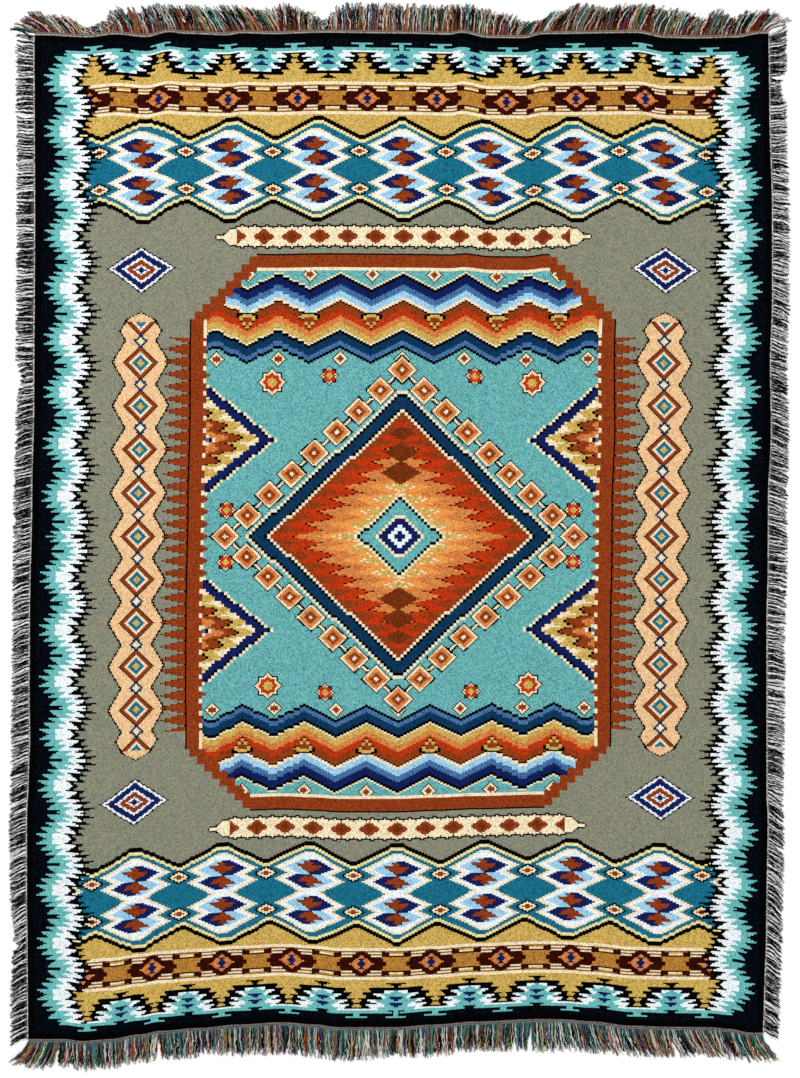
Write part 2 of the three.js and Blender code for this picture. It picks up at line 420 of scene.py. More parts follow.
def paintSideBorder(chart):
    size = sideBorder
    along = (chart.y - size["first"]).fold(size["half"])
    inside = chart.fromEnd > size["from"]
    for yarn, reach in zip(size["yarns"], chart.readRows(size["rows"], along)):
        chart.paint(yarn, (chart.fromSide < reach) * inside)
    chart.paint("navyBlack", (chart.fromSide < size["corner"]) * (1 - inside))
    chart.paint("black", chart.fromSide.atMost(chart.fromEnd) < size["hem"])


# Middle of the cloth: a turquoise panel with stepped corners and toothed sides

panel = {
    "width": 138,
    "length": 182,
    "cut": 272,
    "tread": 5,
    "edge": [("black", 0), ("rust", -1.5), ("cream", -9), ("turquoise", -11)],
    "inside": -11,
    "toothHalf": 4,  # half a tooth's pitch
    "toothRows": 128,  # the rows that the teeth run to
    "outwards": 15,  # length of the teeth, out from the panel and into it
    "inwards": 7,
    "toothLine": 1,
    "toothBar": (-8, -1),  # where the inner teeth stand, from the panel's side
}


def paintPanel(chart):
    size = panel
    stair = chart.x.steps(size["tread"]) + chart.y.steps(size["tread"]) - size["cut"]
    side = chart.x - size["width"]
    out = side.atLeast(chart.y - size["length"]).atLeast(stair)
    tooth = 1 - chart.y.fold(size["toothHalf"]) / size["toothHalf"]
    toothed = chart.y < size["toothRows"]
    outer = tooth * size["outwards"]
    chart.paint("black", (side < outer + size["toothLine"]) * toothed)
    chart.paint("rust", (side < outer) * toothed)
    chart.paintLayers(size["edge"], out)
    low, high = size["toothBar"]
    chart.paint("rust", (side > tooth * -size["inwards"] + low) * (side < high) * toothed)
    return out < size["inside"]


# Zigzag bands near each end of the panel, with small diamonds in their notches

zigzagBand = {
    "half": 20,
    "tread": 2,
    "slope": 0.5,
    "stripes": [
        ("cream", 170), ("black", 168.5), ("navy", 167), ("steel", 162), ("lightBlue", 158), ("cream", 154),
        ("black", 152), ("rust", 150.5), ("redOrange", 146), ("orange", 142), ("gold", 138), ("cream", 134),
        ("black", 132.5), ("darkBlue", 131), ("steel", 126), ("black", 122.5), ("turquoise", 121),
    ],
    "from": 104,
    "seedRows": (168, 114),  # in the outer and the inner notches
    "seeds": [("black", 5.6), ("cream", 4.4), ("rust", 3)],
    "dartRow": 148,
    "dartSlope": 1.3,
    "darts": [("black", 7.5), ("gold", 6), ("rust", 3.4)],
}


def paintZigzagBand(chart, inside):
    size = zigzagBand
    swing = chart.x.steps(size["tread"]).fold(size["half"])
    level = chart.y + (swing * size["slope"]).floor()
    chart.paintLayers(size["stripes"], level, inside * (chart.y > size["from"]))
    dart = size["half"] - swing + abs(level - size["dartRow"]) * size["dartSlope"]
    chart.paintLayers(size["darts"], dart, inside)
    outer, inner = size["seedRows"]
    across = chart.x.fold(size["half"])
    chart.paintLayers(size["seeds"], size["half"] - across + abs(chart.y - outer), inside)
    chart.paintLayers(size["seeds"], across + abs(chart.y - inner), inside)


# Stepped diamonds with spiked rings of colour

medallion = {
    "tread": 2,
    "slope": 0.95,
    "outline": [
        ("cream", 94), ("black", 92), ("darkBlue", 90), ("black", 82), ("cream", 80.5), ("rust", 78.5),
    ],
    "spikes": (4, 3.6),  # half a spike's height, and its length for each row of that
    "spiked": [
        ("redOrange", 78), ("black", 66), ("orange", 64.5), ("peachOrange", 50), ("cream", 40),
        ("gold", 38.5),
    ],
    "core": [
        ("cream", 27), ("black", 25), ("turquoise", 23), ("cream", 14), ("navy", 12), ("white", 7),
        ("navy", 3),
    ],
    "beads": [(41, 8), (54, 7), (66, 5)],
    "beadSlope": 0.6,
}
ring = {
    "line": 107,
    "half": 13.375,  # half the way from one diamond of the ring to the next
    "thread": [("black", 2.4), ("cream", 1)],
    "layers": [("black", 10), ("cream", 8.8), ("orange", 7.2), ("rust", 4.4), ("cream", 1.6)],
}
halfDiamonds = {
    "middle": 62,
    "tread": 2,
    "slope": 0.8,
    "outline": [("cream", 45), ("black", 43.5), ("navy", 42), ("cream", 36)],
    "spikes": (4, 2),
    "spiked": [("gold", 37), ("black", 30.5), ("rust", 29), ("orange", 22)],
    "core": [("cream", 13), ("black", 11.5), ("steel", 10), ("white", 4)],
}
stars = {
    "places": [(84, 99), (47, 103), (112, 17)],
    "reach": (9.5, 6.5, 6.5),
    "layers": [("black", 1), ("cream", 0.86), ("redOrange", 0.7), ("gold", 0.38)],
}


def spiked(chart, size, distance, mask=1):
    half, reach = size["spikes"]
    chart.paintLayers(size["outline"], distance, mask)
    chart.paintLayers(size["spiked"], distance + chart.y.fold(half) * reach, mask)
    chart.paintLayers(size["core"], distance, mask)


def paintMedallion(chart):
    size = medallion
    across = chart.x * size["slope"]
    place = abs(across + chart.y - ring["line"])
    run = (across - chart.y + ring["line"]).fold(ring["half"])
    chart.paintLayers(ring["thread"], place)
    chart.paintLayers(ring["layers"], place.atLeast(run))
    stepped = chart.x.steps(size["tread"]) * size["slope"] + chart.y.steps(size["tread"])
    spiked(chart, size, stepped)
    for row, reach in size["beads"]:
        chart.paint("brown", chart.x * size["beadSlope"] + abs(chart.y - row) < reach)


def paintHalfDiamonds(chart, inside):
    size = halfDiamonds
    across = (panel["width"] - chart.x).steps(size["tread"]) * size["slope"]
    distance = across + abs(chart.y - size["middle"]).steps(size["tread"])
    spiked(chart, size, distance, inside)


def paintStars(chart):
    for (x, y), reach in zip(stars["places"], stars["reach"]):
        across, along = abs(chart.x - x), abs(chart.y - y)
        star = (across + along).atMost(across.atLeast(along) * math.sqrt(2))
        chart.paintLayers(stars["layers"], star / reach)


# Side margins: a chain of linked diamonds with a star past each end, and a serrated bar by each end band

margin = {
    "middle": 169,
    "half": 14,
    "slope": 0.6,
    "length": 132,
    "taper": 1.2,
    "chain": [("black", 19), ("peach", 17.6)],
    "seedLength": 139,
    "seeds": [("black", 11.5), ("rust", 10.2), ("cream", 7.4), ("teal", 5.8), ("gold", 2.6)],
    "knots": [("darkBlue", 5), ("cream", 2.4)],
    "starRow": 172,
    "starSlope": 0.7,
    "star": [
        ("black", 15.5), ("white", 14.4), ("navy", 12.8), ("white", 8.6), ("rust", 7), ("white", 3.6),
        ("navy", 2.2),
    ],
    "barRow": 192.5,
    "barWidth": 108,
    "barTaper": 0.5,
    "barTooth": (4, 0.35),  # half a tooth's pitch, and its slope
    "bar": [("black", 8), ("cream", 6.6)],
    "lozenges": [("rust", 5.2), ("brown", 2.6)],
    "lozengeHalf": 9,
    "lozengeSlope": 0.7,
}


def paintMargins(chart):
    size = margin
    along = chart.y.fold(size["half"])
    across = abs(chart.x - size["middle"])
    past = (chart.y - size["length"]).atLeast(0) * size["taper"]
    chart.paintLayers(size["chain"], across + along * size["slope"] + past)
    inside = chart.y < size["seedLength"]
    chart.paintLayers(size["seeds"], across + along, inside)
    chart.paintLayers(size["knots"], across + size["half"] - along, inside)
    chart.paintLayers(size["star"], across * size["starSlope"] + abs(chart.y - size["starRow"]))
    half, slope = size["barTooth"]
    ends = (chart.x - size["barWidth"]).atLeast(0) * size["barTaper"]
    bar = abs(chart.y - size["barRow"]) + ends
    chart.paintLayers(size["bar"], bar + chart.x.fold(half) * slope)
    lozenge = bar + chart.x.fold(size["lozengeHalf"]) * size["lozengeSlope"]
    chart.paintLayers(size["lozenges"], lozenge, chart.x < size["barWidth"])


weave = {
    "picksPerStep": 1.5,
    "layers": (1.0, 2.0, 3.0),  # of random numbers: for flecks, shade and stray fibres
    "fleckShare": 0.3,
    "fleckStrength": 0.8,
    "reverseMix": 0.8,
    "shadeLow": 0.84,
    "shadeRange": 0.44,
    "strayShare": 0.22,
    "shift": 0.5,  # of each row of stitches along from the last
    "pillow": (0.6, 0.5),  # how roundly a stitch rises across and along
    "relief": 0.5 * mm,
    "reliefStrength": 0.7,
    "roughness": 0.86,
    "fleckRoughness": 0.08,
    "gloss": 0.015,
}


def chartYarn(graph, across, along):
    chart = Chart(graph, across, along)
    paintMargins(chart)
    inside = paintPanel(chart)
    paintZigzagBand(chart, inside)
    paintHalfDiamonds(chart, inside)
    paintMedallion(chart)
    paintStars(chart)
    paintLatticeBand(chart)
    paintBrownBand(chart)
    glasses = paintEndBorder(chart)
    paintSideBorder(chart)
    chart.paint("gold", glasses)
    return chart.yarn


def clothMaterial():
    size = weave
    graph = Graph("wovenCloth")
    across, along, face = graph.parts(graph.attribute("stitch"))

    # The chart gives a yarn's place in the list, and two ramps turn it into colours
    place = (chartYarn(graph, across, along) + 0.5) / len(yarns)
    facing = graph.node("ShaderNodeValToRGB", {"stops": yarnStops(0)}, [place])
    fleck = graph.node("ShaderNodeValToRGB", {"stops": yarnStops(1)}, [place])
    picks = size["picksPerStep"]
    column = (across * picks).floor()
    row = (along * picks).floor()
    fleckPlace, shadePlace, strayPlace = [graph.joined(column, row, layer) for layer in size["layers"]]
    speck = graph.scatter(fleckPlace) > 1 - size["fleckShare"]
    share = graph.mixNumbers(face, speck * size["fleckStrength"], size["reverseMix"])
    color = graph.mixColours(share, facing, fleck)
    color = graph.shaded(color, graph.scatter(shadePlace) * size["shadeRange"] + size["shadeLow"])
    stray = graph.scatter(strayPlace, "Color")
    color = graph.mixColours(size["strayShare"], color, stray, "MULTIPLY")
    normal = graph.relief(stitchHeight(across, along, row), size["relief"], size["reliefStrength"])
    roughness = size["roughness"] + speck * size["fleckRoughness"]
    return graph.surface(color=color, roughness=roughness, normal=normal, gloss=size["gloss"])


def stitchHeight(across, along, row):  # rows of small pillows
    picks = weave["picksPerStep"]
    shift = row.math("MODULO", 2.0) * weave["shift"]
    ribs = abs(((across * picks + shift) * math.pi).math("SINE"))
    rows = abs((along * (math.pi * picks)).math("SINE"))
    acrossPower, alongPower = weave["pillow"]
    return ribs.math("POWER", acrossPower) * rows.math("POWER", alongPower)


# The cloth's outline in plan: how far each edge stands in from its furthest line, in millimetres

outline = {"halfWidth": 643, "halfLength": 868}
leftEdge = [
    (-866, 3), (-694, 2), (-625, 1), (-488, 1), (-419, 4), (-350, 6.5), (-281, 5.5), (-144, 6),
    (63, 10), (235, 13.5), (544, 15), (864, 14),
]
rightEdge = [
    (-866, 20), (-823, 18.5), (-677, 14.5), (-488, 12), (-453, 14), (-144, 14), (-60, 12), (63, 11.5),
    (183, 6.5), (300, 8), (407, 4.5), (560, 4.5), (734, 9), (864, 10.5),
]
topEdge = [
    (-629, 6.5), (-551, 10), (-501, 5), (-448, 9.5), (-407, 1), (-379, 4), (-307, 6.5), (-280, 3),
    (-224, 4.5), (-138, 2), (0, 3.5), (85, 5.5), (104, 2), (154, 11), (214, 11.5), (249, 4.5),
    (412, 2.5), (464, 11), (515, 12), (584, 10.5), (632, 3.5),
]
bottomEdge = [
    (-637, 4), (-577, 4), (-551, 0.5), (-500, 4), (-448, 12), (-414, 18), (-345, 23), (-276, 29),
    (-199, 33), (-138, 29), (-104, 24.5), (0, 24.5), (68, 29), (137, 34), (249, 38.5), (292, 38),
    (343, 34.5), (412, 27), (481, 25), (550, 24.5), (584, 21.5), (622, 15),
]

# Low billows of the loose cloth: middle x and y, half sizes and height
billows = [
    (-470, 650, 140, 180, 4), (-170, 690, 130, 150, 3), (150, 660, 150, 180, 4.5),
    (480, 610, 130, 210, 3.5), (-450, 60, 130, 300, 3), (440, -20, 130, 280, 3),
    (-330, -590, 170, 200, 5), (40, -620, 150, 170, 4), (420, -580, 160, 200, 4.5),
]


def mix(first, second, share):
    return first + share * (second - first)


def readTable(table, place, column=1):  # eased from each place to the next, so that no corner shows
    if place <= table[0][0]:
        return table[0][column]
    for before, after in zip(table, table[1:]):
        if place < after[0]:
            share = (place - before[0]) / (after[0] - before[0])
            return mix(before[column], after[column], share * share * (3 - 2 * share))
    return table[-1][column]


def clothPoint(across, along):
    # Plan of the cloth, shares running 0 to 1. The side edges' waves die out at the other side,
    # and those of the ends at the middle of the cloth.
    half, length = outline["halfWidth"], outline["halfLength"]
    level = mix(-length, length, along)
    place = mix(-half, half, across)
    left = readTable(leftEdge, level) * (1 - across)
    right = readTable(rightEdge, level) * across
    bottom = readTable(bottomEdge, place) * max(0, 1 - 2 * along)
    top = readTable(topEdge, place) * max(0, 2 * along - 1)
    return (place + left - right) * mm, (level + bottom - top) * mm


def lift(x, y):
    height = 0.0
    for middleX, middleY, spreadX, spreadY, rise in billows:
        away = ((x / mm - middleX) / spreadX) ** 2 + ((y / mm - middleY) / spreadY) ** 2
        if away < 1:
            height += rise * (1 - away) ** 2
    return height * mm


def newPiece(name, points, faces, material, attributes=()):
    mesh = bpy.data.meshes.new(name)
    mesh.from_pydata(points, [], faces)
    for attribute, kind, values in attributes:
        field = "color" if kind == "FLOAT_COLOR" else "vector"
        layer = mesh.attributes.new(attribute, kind, "POINT")
        layer.data.foreach_set(field, [number for value in values for number in value])
    mesh.materials.append(material)
    mesh.shade_smooth()
    piece = bpy.data.objects.new(name, mesh)
    bpy.context.scene.collection.objects.link(piece)
    return piece


clothSizes = {
    "thickness": 2.4 * mm,
    "roundOff": 0.7 * mm,  # how much lower the rim lies
    "columns": 158,
    "rows": 216,
    "ripple": 0.35 * mm,
    "rippleSize": 0.07,
}


def clothHeight(x, y, face, rim):
    size = clothSizes
    if face:
        level = size["roundOff"] if rim else 0
    elif rim:
        level = size["thickness"] - size["roundOff"]
    else:
        place = Vector((x, y, 0)) / size["rippleSize"]
        level = size["thickness"] + size["ripple"] * noise.noise(place)
    return lift(x, y) + level


def clothPoints():
    columns, rows = clothSizes["columns"], clothSizes["rows"]
    points, stitches = [], []
    for face in (0, 1):  # the patterned face, then the reverse
        for row in range(rows + 1):
            for column in range(columns + 1):
                across, along = column / columns, row / rows
                x, y = clothPoint(across, along)
                rim = column in (0, columns) or row in (0, rows)
                points.append((x, y, clothHeight(x, y, face, rim)))
                stitches.append((across * chartSize["columns"], along * chartSize["rows"], face))
    return points, stitches


def clothFaces():
    columns, rows = clothSizes["columns"], clothSizes["rows"]
    reverse = (columns + 1) * (rows + 1)

    def at(column, row):
        return row * (columns + 1) + column
    faces = []
    for row in range(rows):
        for column in range(columns):
            corners = [at(column, row), at(column + 1, row), at(column + 1, row + 1), at(column, row + 1)]
            faces.append(corners)
            faces.append([corner + reverse for corner in reversed(corners)])
    rim = [at(column, 0) for column in range(columns)]
    rim += [at(columns, row) for row in range(rows)]
    rim += [at(column, rows) for column in range(columns, 0, -1)]
    rim += [at(0, row) for row in range(rows, 0, -1)]
    for start, end in zip(rim, rim[1:] + rim[:1]):
        faces.append([start, start + reverse, end + reverse, end])
    return faces


def makeCloth():
    points, stitches = clothPoints()
    attributes = [("stitch", "FLOAT_VECTOR", stitches)]
    return newPiece("throwCloth", points, clothFaces(), clothMaterial(), attributes)


# Edges: each has a path of the cloth's rim and the way out from it

edges = {
    "top": {"path": lambda share: clothPoint(share, 1), "out": (0, 1)},
    "bottom": {"path": lambda share: clothPoint(share, 0), "out": (0, -1)},
    "left": {"path": lambda share: clothPoint(0, share), "out": (-1, 0)},
    "right": {"path": lambda share: clothPoint(1, share), "out": (1, 0)},
}
endBacking = {"width": 5.8 * mm, "ribs": 2, "height": 2.2 * mm, "steps": 420}
sideBacking = {"width": 2.2 * mm, "ribs": 1, "height": 2.2 * mm, "steps": 560}
backingShape = {"pointsPerRib": 5, "valley": 0.45, "swell": 0.6, "parting": 0.3 * mm}
# grooveShade: colour of the painted shade along the groove between the ribs, or along the outer edge of a
# band with one rib
bandColours = {
    "top": {"inner": "aaa6a2", "outer": "857a70", "grooveShade": "2b2523", "fleck": "5c504a", "flecks": 0.22},
    "bottom": {"inner": "8d7a74", "outer": "6d7d80", "grooveShade": "2a2523", "fleck": "4c4444", "flecks": 0.25},
    "side": {"inner": "d9d8da", "outer": "d9d8da", "grooveShade": "8c8b90", "fleck": "121216", "flecks": 0.45},
}
bandFinish = {
    "pitch": 1.3 * mm,
    "slant": 0.9,
    "fleckStrength": 0.8,
    "grooveShadeReach": 0.13,
    "shadeLow": 0.88,
    "shadeRange": 0.2,
    "swell": 0.6,
    "relief": 0.4 * mm,
    "reliefStrength": 0.8,
    "roughness": 0.92,
    "gloss": 0.05,
}


def backingMaterial(name, colours):
    # Slanted yarns that cross the ribs, with painted shade as a dark line in the groove between the ribs
    size = bandFinish
    graph = Graph(name)
    along, across, spare = graph.parts(graph.attribute("run"))
    slant = along / size["pitch"] + across * size["slant"]
    pick = graph.scatter(graph.joined(slant.floor(), across.floor(), spare))
    color = graph.mixColours(across > 1, solidColour(colours["inner"]), solidColour(colours["outer"]))
    flecked = (pick > 1 - colours["flecks"]) * size["fleckStrength"]
    color = graph.mixColours(flecked, color, solidColour(colours["fleck"]))
    # Painted shade: a dark line along the groove between the ribs, or along the outer edge where the band
    # has one rib
    grooveShade = across.near(1, size["grooveShadeReach"])
    color = graph.mixColours(grooveShade, color, solidColour(colours["grooveShade"]))
    color = graph.shaded(color, pick * size["shadeRange"] + size["shadeLow"])
    height = abs((slant * math.pi).math("SINE")).math("POWER", size["swell"])
    normal = graph.relief(height, size["relief"], size["reliefStrength"])
    return graph.surface(color=color, roughness=size["roughness"], normal=normal, gloss=size["gloss"])


def ribProfile(size):  # shares of the band's width with their heights, then its flat underside
    profile = []
    count = backingShape["pointsPerRib"] * size["ribs"]
    for step in range(count + 1):
        share = step / count
        swell = abs(math.sin(share * math.pi * size["ribs"])) ** backingShape["swell"]
        profile.append((share, size["height"] * mix(backingShape["valley"], 1, swell)))
    return profile + [(1, 0), (0, 0)]


def makeBacking(name, edge, size, material):
    path, (outX, outY) = edges[edge]["path"], edges[edge]["out"]
    profile = ribProfile(size)
    points, runs, faces = [], [], []
    length = 0.0
    last = path(0)
    for step in range(size["steps"] + 1):
        x, y = path(step / size["steps"])
        length += math.dist((x, y), last)
        last = (x, y)
        for share, height in profile:
            out = backingShape["parting"] + share * size["width"]
            points.append((x + outX * out, y + outY * out, height))
            runs.append((length, share * size["ribs"], 0))
    around = len(profile)
    for step in range(size["steps"]):
        for side in range(around):
            start, end = step * around + side, step * around + (side + 1) % around
            faces.append([start, end, end + around, start + around])
    faces.append(list(range(around - 1, -1, -1)))
    faces.append([size["steps"] * around + side for side in range(around)])
    if edge in ("top", "left"):
        faces = [face[::-1] for face in faces]
    return newPiece(name, points, faces, material, [("run", "FLOAT_VECTOR", runs)])


# Fringe: place along the edge, reach past the cloth's edge and lean of the tips, in millimetres

topLocks = [
    (-629, 12, -34), (-618, 24, -38), (-600, 42, -38), (-560, 38, -26), (-525, 18, -12), (-500, 24, -10),
    (-472, 50, -16), (-345, 50, -18), (-330, 52, -26), (-215, 46, -26), (-200, 54, -6), (-160, 40, 0),
    (-135, 22, 0), (-95, 52, 2), (0, 52, 0), (140, 50, 4), (170, 44, 6), (205, 30, 14), (262, 42, 28),
    (280, 54, 24), (343, 44, 18), (380, 52, 16), (450, 50, 18), (490, 44, 18), (505, 32, 14),
    (530, 50, 18), (560, 36, 14), (580, 46, 18), (615, 42, 26), (632, 24, 36),
]
bottomLocks = [
    (-637, 44, -26), (-603, 52, -18), (-577, 46, -6), (-543, 51, 0), (-448, 49, 0), (-422, 51, -2),
    (-400, 49, 3), (-362, 52, 2), (-345, 44, 0), (-276, 54, 0), (-70, 57, 0), (0, 50, 0),
    (42, 56, 0), (137, 51, 0), (214, 53, -2), (240, 57, 5), (343, 54, 14), (455, 52, 16),
    (481, 50, 21), (575, 54, 18), (622, 50, 26),
]
leftLocks = [
    (-866, 30, -12), (-800, 31, -14), (-705, 27, -14), (-694, 19, -15), (-680, 24, -14), (-600, 30, -14),
    (-440, 32, -13), (-350, 33, -11), (-144, 31, -10), (63, 33, -9), (235, 32, -8), (275, 24, -3),
    (310, 33, -2), (544, 33, -1), (800, 33, 1), (846, 33, 5), (864, 30, 13),
]
rightLocks = [
    (-866, 26, -14), (-800, 28, -18), (-700, 28, -19), (-460, 29, -18), (-420, 30, -8), (-300, 32, -7),
    (-20, 34, -6), (20, 34, -11), (360, 30, -12), (430, 31, -10), (460, 31, -6), (640, 31, -5),
    (665, 30, 1), (734, 30, 3), (780, 20, 0), (800, 31, 2), (846, 32, 6), (864, 33, 14),
]
endYarns = [
    ("080808", 3), ("7a2316", 1.4), ("1f6a45", 1.2), ("f1ece2", 2), ("3f9a9a", 0.9), ("5a4a7c", 0.6),
    ("a3a352", 0.6), ("c46c38", 0.9), ("9a9088", 0.5),
]
sideYarns = [("020203", 8), ("ffffff", 3), ("77757d", 0.6)]
# Each cord is two fibres. spread: of the tips' lean; waves: size and turns; loose: how little the waves of
# neighbours agree; clump and pull: tufts, and how far tips are drawn to theirs; pile: height of the arch;
# underShade: share of cords beneath, dark as painted shade under the fringe; turnShare: of cords whose yarn
# comes from the runs of two by turns
endFringe = {
    "cords": 1560, "segments": 9, "fibre": 0.62 * mm, "apart": 0.5 * mm, "twist": 1.3,
    "spread": 7 * mm, "waves": [(2.4 * mm, 7), (1.1 * mm, 16)], "loose": 1.0,
    "clump": 10 * mm, "pull": 0.45, "start": 4.6 * mm, "fullReach": 48 * mm,
    "uneven": 0.2, "pile": 3.2 * mm, "underShade": 0.42, "underReach": 0.86,
    "tintLength": 0.4, "tintShare": 0.5, "yarns": endYarns, "turnShare": 0.0, "runs": ((1,), (1,)),
}
sideFringe = {
    "cords": 1100, "segments": 8, "fibre": 0.66 * mm, "apart": 0.5 * mm, "twist": 1.2,
    "spread": 1.2 * mm, "waves": [(2.2 * mm, 4.5), (0.9 * mm, 10)], "loose": 0.14,
    "clump": 8 * mm, "pull": 0.3, "start": 1.2 * mm, "fullReach": 30 * mm,
    "uneven": 0.18, "pile": 2 * mm, "underShade": 0.4, "underReach": 1.0,
    "tintLength": 0.2, "tintShare": 0.25, "yarns": sideYarns, "turnShare": 0.9,
    "runs": ((2, 2, 3, 3), (1, 1, 2)),
}
# One for each edge: its sizes, the colour that tints the roots, and where the cords part, in millimetres
fringes = {
    "top": {"locks": topLocks, "size": endFringe, "tint": "8e3f22", "seed": 11, "gaps": ()},
    "bottom": {
        "locks": bottomLocks, "size": endFringe, "tint": "3f7175", "seed": 12,
        "gaps": (-594, -417, 222, 477),
    },
    "left": {"locks": leftLocks, "size": sideFringe, "tint": "c9c8d0", "seed": 13, "gaps": ()},
    "right": {"locks": rightLocks, "size": sideFringe, "tint": "c9c8d0", "seed": 14, "gaps": (790,)},
}
cordShape = {
    "sides": 3,
    "taper": 0.35,
    "bright": (0.85, 1.1),
    "swing": (0.3, 1),  # of a wave's size
    "turns": (0.8, 1.25),  # of a wave's turns
    "drift": 28,  # how fast neighbouring cords' waves fall out of step, in steps of noise for each metre
    "driftTurns": 1.5,
    "leanCurve": 1.3,
    "waveCurve": 0.6,
    "arch": (0.3, 0.85),  # where on a sine the height starts, and how many half turns it goes on
    "sink": 0.4,  # how much lower the arch is at the tip
    "cut": 0.75,  # share of the cords that end short of the edge's reach
    "leanSpread": 0.4,
    "wander": (0.35, 900),  # of the tufts' middles: share of a tuft, and radians for each metre
    "gapHalf": 7 * mm,
    "underShade": "050505",  # colour of the cords that lie under the others: painted shade beneath the fringe
}
yarnFinish = {
    "fuzz": {"Scale": 900.0, "Detail": 2.0},
    "pitch": 1.7 * mm,
    "fuzzShade": 0.4,
    "plyShade": 0.25,
    "shadeLow": 0.68,
    "plyHeight": 0.6,
    "fuzzHeight": 0.4,
    "relief": 0.3 * mm,
    "reliefStrength": 0.7,
    "roughness": 0.93,
    "gloss": 0.04,
}


def yarnMaterial(name):
    size = yarnFinish
    graph = Graph(name)
    color = graph.attribute("yarnColour", "Color")
    along, around, _ = graph.parts(graph.attribute("yarnRun"))
    place = graph.node("ShaderNodeTexCoord", {}, [], "Object")
    settings = {"noise_dimensions": "3D"}
    fuzz = graph.node("ShaderNodeTexNoise", settings, {"Vector": place, **size["fuzz"]})
    plies = abs(((along / size["pitch"] + around) * math.pi).math("SINE"))
    # The plies' dips darken the colour: painted shade in the grooves between the plies; the fuzz is tone
    # that varies at random
    color = graph.shaded(color, fuzz * size["fuzzShade"] + plies * size["plyShade"] + size["shadeLow"])
    height = plies * size["plyHeight"] + fuzz * size["fuzzHeight"]
    normal = graph.relief(height, size["relief"], size["reliefStrength"])
    return graph.surface(color=color, roughness=size["roughness"], normal=normal, gloss=size["gloss"])


def cordSwings(size, root, reach, rng):
    # Size, turns and start of each wave. A cord that reaches less far is curlier, not shorter.
    swings = []
    curl = max(1, size["fullReach"] / reach)
    for wave, turns in size["waves"]:
        swing = wave * curl * rng.uniform(*cordShape["swing"])
        place = Vector((root[0], root[1], turns)) * cordShape["drift"]
        drift = noise.noise(place) * math.tau * cordShape["driftTurns"]
        phase = drift + rng.uniform(0, math.tau) * size["loose"]
        swings.append((swing, turns * mix(1, rng.uniform(*cordShape["turns"]), size["loose"]), phase))
    return swings


def cordPath(size, root, out, reach, lean, rng, underShade):
    # Out from the backing, towards its tuft's tip, in loose waves that settle on the floor
    outX, outY = out
    swings = cordSwings(size, root, reach, rng)
    high = 0 if underShade else rng.random() * size["pile"]
    rise, halfTurns = cordShape["arch"]
    points = []
    for step in range(size["segments"] + 1):
        share = step / size["segments"]
        away = mix(size["start"], reach, share)
        wave = sum(swing * math.sin(phase + share * turns) for swing, turns, phase in swings)
        aside = lean * share ** cordShape["leanCurve"] + wave * share ** cordShape["waveCurve"]
        arch = high * math.sin(share * math.pi * halfTurns + rise) * (1 - cordShape["sink"] * share)
        x = root[0] + outX * away + abs(outY) * aside
        y = root[1] + outY * away + abs(outX) * aside
        points.append(Vector((x, y, size["fibre"] + arch)))
    return points


def addFibre(mesh, path, size, start, colour, tint, rng):
    points, faces, colours, runs = mesh
    sides = cordShape["sides"]
    first = len(points)
    length = 0.0
    roll = rng.uniform(0, math.tau)
    for step, place in enumerate(path):
        share = step / (len(path) - 1)
        ahead = path[min(step + 1, len(path) - 1)] - path[max(step - 1, 0)]
        length += ahead.length / 2
        across = Vector((-ahead.y, ahead.x, 0)).normalized()
        up = ahead.cross(across).normalized()
        turn = start + step * size["twist"]
        middle = place + (across * math.cos(turn) + up * math.sin(turn)) * size["apart"] * (1 + share)
        radius = size["fibre"] * (1 - cordShape["taper"] * share)
        fade = max(0, 1 - share / size["tintLength"]) * size["tintShare"]
        bright = rng.uniform(*cordShape["bright"])
        for side in range(sides):
            angle = roll + side * math.tau / sides
            point = middle + (across * math.cos(angle) + up * math.sin(angle)) * radius
            point.z = max(point.z, 0.0)
            points.append(point)
            colours.append([mix(colour[k], tint[k], fade) * bright for k in range(3)] + [1.0])
            runs.append((length, side / sides, 0))
    addTube(faces, first, len(path), sides)


def addTube(faces, first, rings, sides):
    for ring in range(rings - 1):
        for side in range(sides):
            start = first + ring * sides + side
            end = first + ring * sides + (side + 1) % sides
            faces.append([start, end, end + sides, start + sides])
    last = first + (rings - 1) * sides
    faces.append([first + side for side in reversed(range(sides))])
    faces.append([last + side for side in range(sides)])


def aimCord(work, place, rng):
    # Reach, and lean of the tip: with the cord's own tuft, and clear of the gaps
    size, gapHalf = work["size"], cordShape["gapHalf"]
    reach = readTable(work["locks"], place / mm, 1) * mm
    reach *= 1 + size["uneven"] * (rng.random() - cordShape["cut"])
    lean = readTable(work["locks"], place / mm, 2) * mm
    lean += rng.gauss(0, cordShape["leanSpread"]) * size["spread"]
    share, waves = cordShape["wander"]
    tuft = (round(place / size["clump"]) + share * math.sin(place * waves)) * size["clump"]
    lean += (tuft - place) * size["pull"]
    for gap in work["gaps"]:
        near = place + lean - gap * mm
        if abs(near) < gapHalf:
            lean += math.copysign(gapHalf - abs(near), near)
    return reach, lean


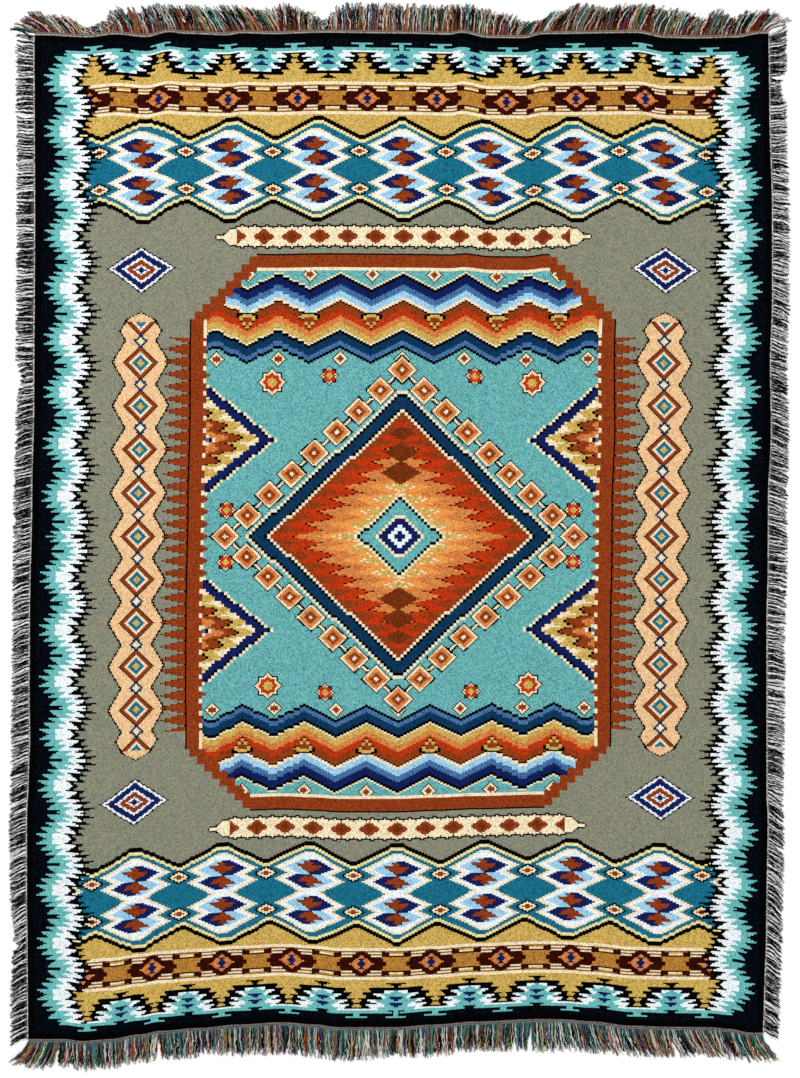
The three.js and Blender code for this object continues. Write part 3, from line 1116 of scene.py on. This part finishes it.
def makeFringe(name, edge, work):
    size = work["size"]
    rng = random.Random(work["seed"])
    path, out = edges[edge]["path"], edges[edge]["out"]
    mesh = points, faces, colours, runs = [], [], [], []
    codes, weights = zip(*size["yarns"])
    axis = 0 if out[0] == 0 else 1
    tint = fromHex(work["tint"])
    turn, left = 0, 0  # the side fringes' two yarns take turns, in short runs
    for cord in range(size["cords"]):
        if left == 0:
            turn, left = 1 - turn, rng.choice(size["runs"][1 - turn])
        left -= 1
        root = path((cord + rng.random()) / size["cords"])
        underShade = rng.random() < size["underShade"]
        reach, lean = aimCord(work, root[axis], rng)
        code = rng.choices(codes, weights)[0]
        if rng.random() < size["turnShare"]:
            code = codes[turn]
        # Cords beneath take a dark yarn whatever their own: painted shade under the fringe
        if underShade:
            reach *= size["underReach"]
            code = cordShape["underShade"]
        route = cordPath(size, root, out, reach, lean, rng, underShade)
        start = rng.uniform(0, math.tau)
        for fibre in (0, 1):
            addFibre(mesh, route, size, start + fibre * math.pi, fromHex(code), tint, rng)
    attributes = [("yarnColour", "FLOAT_COLOR", colours), ("yarnRun", "FLOAT_VECTOR", runs)]
    return newPiece(name, points, faces, yarnMaterial(name + "Yarn"), attributes)


# Floor, lights and camera

view = {
    "photoHigh": 1078,  # pixels
    "perPixel": 1.72 * mm,
    "middle": (-0.9 * mm, -4.3 * mm),
    "height": 8.0,
    "sensor": 36.0,  # millimetres, like the lens
    "clip": 50,
}
floorSize = {
    "side": 12,
    "below": 0.5 * mm,
    "colours": ((0.95, 0.95, 0.95, 1), (0.97, 0.97, 0.97, 1)),
    "grain": {"Scale": 3.0, "Detail": 1.0},
    "roughness": 0.9,
    "gloss": 0.1,
}
lights = {
    "key": {"place": (-2.2, 2.4, 3.6), "size": 2.4, "watts": 140},
    "fill": {"place": (2.6, -1.8, 3.8), "size": 3.0, "watts": 76},
}
worldLight = {"Color": (1, 1, 1, 1), "Strength": 0.5}


def makeCamera():
    camera = bpy.data.objects.new("camera", bpy.data.cameras.new("camera"))
    bpy.context.scene.collection.objects.link(camera)
    tall = view["photoHigh"] * view["perPixel"]
    camera.data.sensor_width = view["sensor"]
    camera.data.lens = view["sensor"] * view["height"] / tall
    camera.data.clip_end = view["clip"]
    camera.location = (*view["middle"], view["height"])
    bpy.context.scene.camera = camera


def makeFloor():
    size = floorSize
    graph = Graph("floor")
    place = graph.node("ShaderNodeTexCoord", {}, [], "Object")
    grain = graph.node("ShaderNodeTexNoise", {}, {"Vector": place, **size["grain"]})
    color = graph.mixColours(grain, *size["colours"])
    material = graph.surface(color=color, roughness=size["roughness"], gloss=size["gloss"])
    side, level = size["side"], -size["below"]
    corners = [(-side, -side, level), (side, -side, level), (side, side, level), (-side, side, level)]
    floor = newPiece("floor", corners, [[0, 1, 2, 3]], material)


def makeLights():
    world = bpy.data.worlds.new("studio")
    world.use_nodes = True
    for name, value in worldLight.items():
        world.node_tree.nodes["Background"].inputs[name].default_value = value
    bpy.context.scene.world = world
    for name, lamp in lights.items():
        light = bpy.data.objects.new(name, bpy.data.lights.new(name, "AREA"))
        light.data.size = lamp["size"]
        light.data.energy = lamp["watts"]
        light.location = lamp["place"]
        light.rotation_euler = (-light.location).to_track_quat("-Z", "Y").to_euler()  # at the middle
        bpy.context.scene.collection.objects.link(light)
    bpy.context.scene.view_settings.view_transform = "Standard"


def dress():
    makeCamera()
    print("camera set")
    cloth = makeCloth()
    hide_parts("cloth")
    print("cloth woven")
    bands = {name: backingMaterial(name + "Band", colours) for name, colours in bandColours.items()}
    pieces = []
    for edge, work in fringes.items():
        atEnd = edge in ("top", "bottom")
        backing = endBacking if atEnd else sideBacking
        band = makeBacking(edge + "Backing", edge, backing, bands[edge if atEnd else "side"])
        strands = makeFringe(edge + "Fringe", edge, work)
        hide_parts("fringe_" + edge)
        for piece in (band, strands):
            "end_fringe" if edge in ("top", "bottom") else "side_fringe"
            pieces.append(piece)
        print(edge, "fringe laid")
    for piece in [cloth, *pieces]:
        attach(piece, "root")
    makeFloor()
    makeLights()
    print("floor and lights set")


dress()
